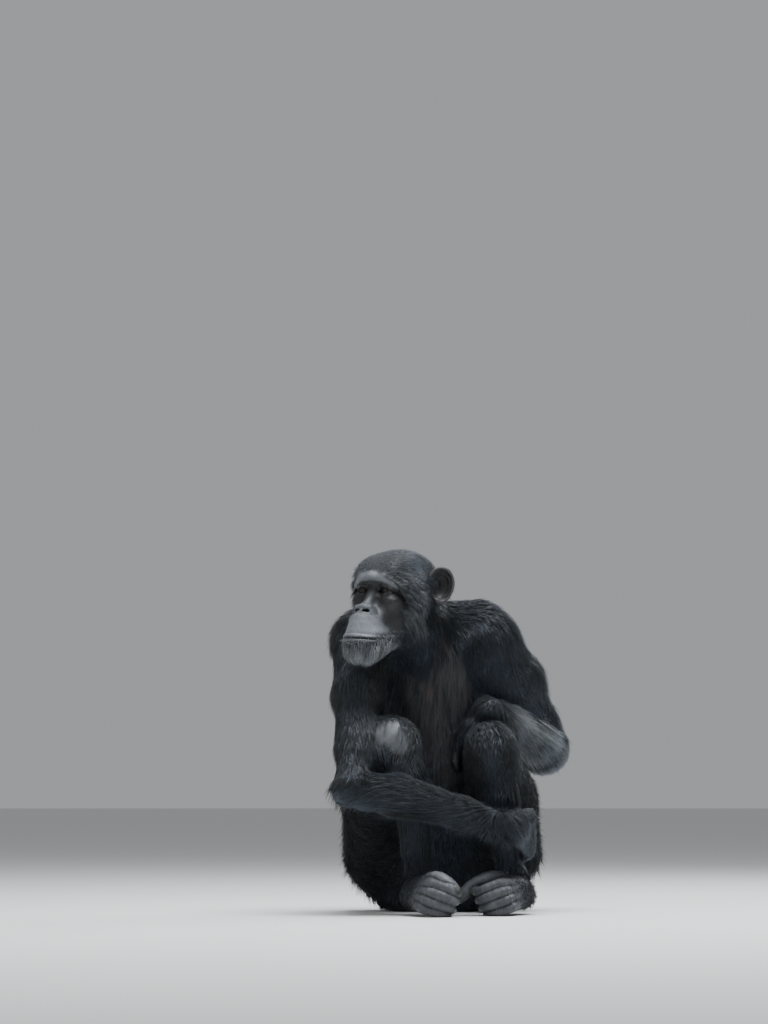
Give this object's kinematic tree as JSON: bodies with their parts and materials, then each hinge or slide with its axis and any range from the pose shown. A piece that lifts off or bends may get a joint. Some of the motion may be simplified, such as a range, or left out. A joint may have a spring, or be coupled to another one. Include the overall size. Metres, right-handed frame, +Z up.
{
  "type": "chimpanzee, seated, life-size still model",
  "caption": "Life-size still model of an adult male chimpanzee sitting hunched with knees drawn up, one forearm across its shins and its head turned to its right.",
  "frame": {"origin": "on the floor, under the middle of the model's bounding box", "axes": "+Z up, the chest faces -Y, the animal's left side is towards +X"},
  "size_m": [0.5416, 0.5502, 0.7635],
  "materials": {
    "coat": "matte",
    "face_skin": "satin",
    "chest_skin": "matte",
    "ear_skin": "satin",
    "hand_skin": "satin",
    "eye": "gloss"
  },
  "bodies": {
    "root": {"eye_left": "eye", "eye_right": "eye", "head": "face_skin", "pelvis": "coat", "neck": "coat", "abdomen": "chest_skin", "chest": "chest_skin", "ear_left": "ear_skin", "thigh_left": "coat", "shin_left": "coat", "upper_arm_left": "coat", "forearm_left": "coat", "foot_left": "hand_skin", "hand_left": "hand_skin", "ear_right": "ear_skin", "thigh_right": "coat", "shin_right": "coat", "upper_arm_right": "coat", "forearm_right": "coat", "foot_right": "hand_skin", "hand_right": "hand_skin"}
  },
  "joints": []
}
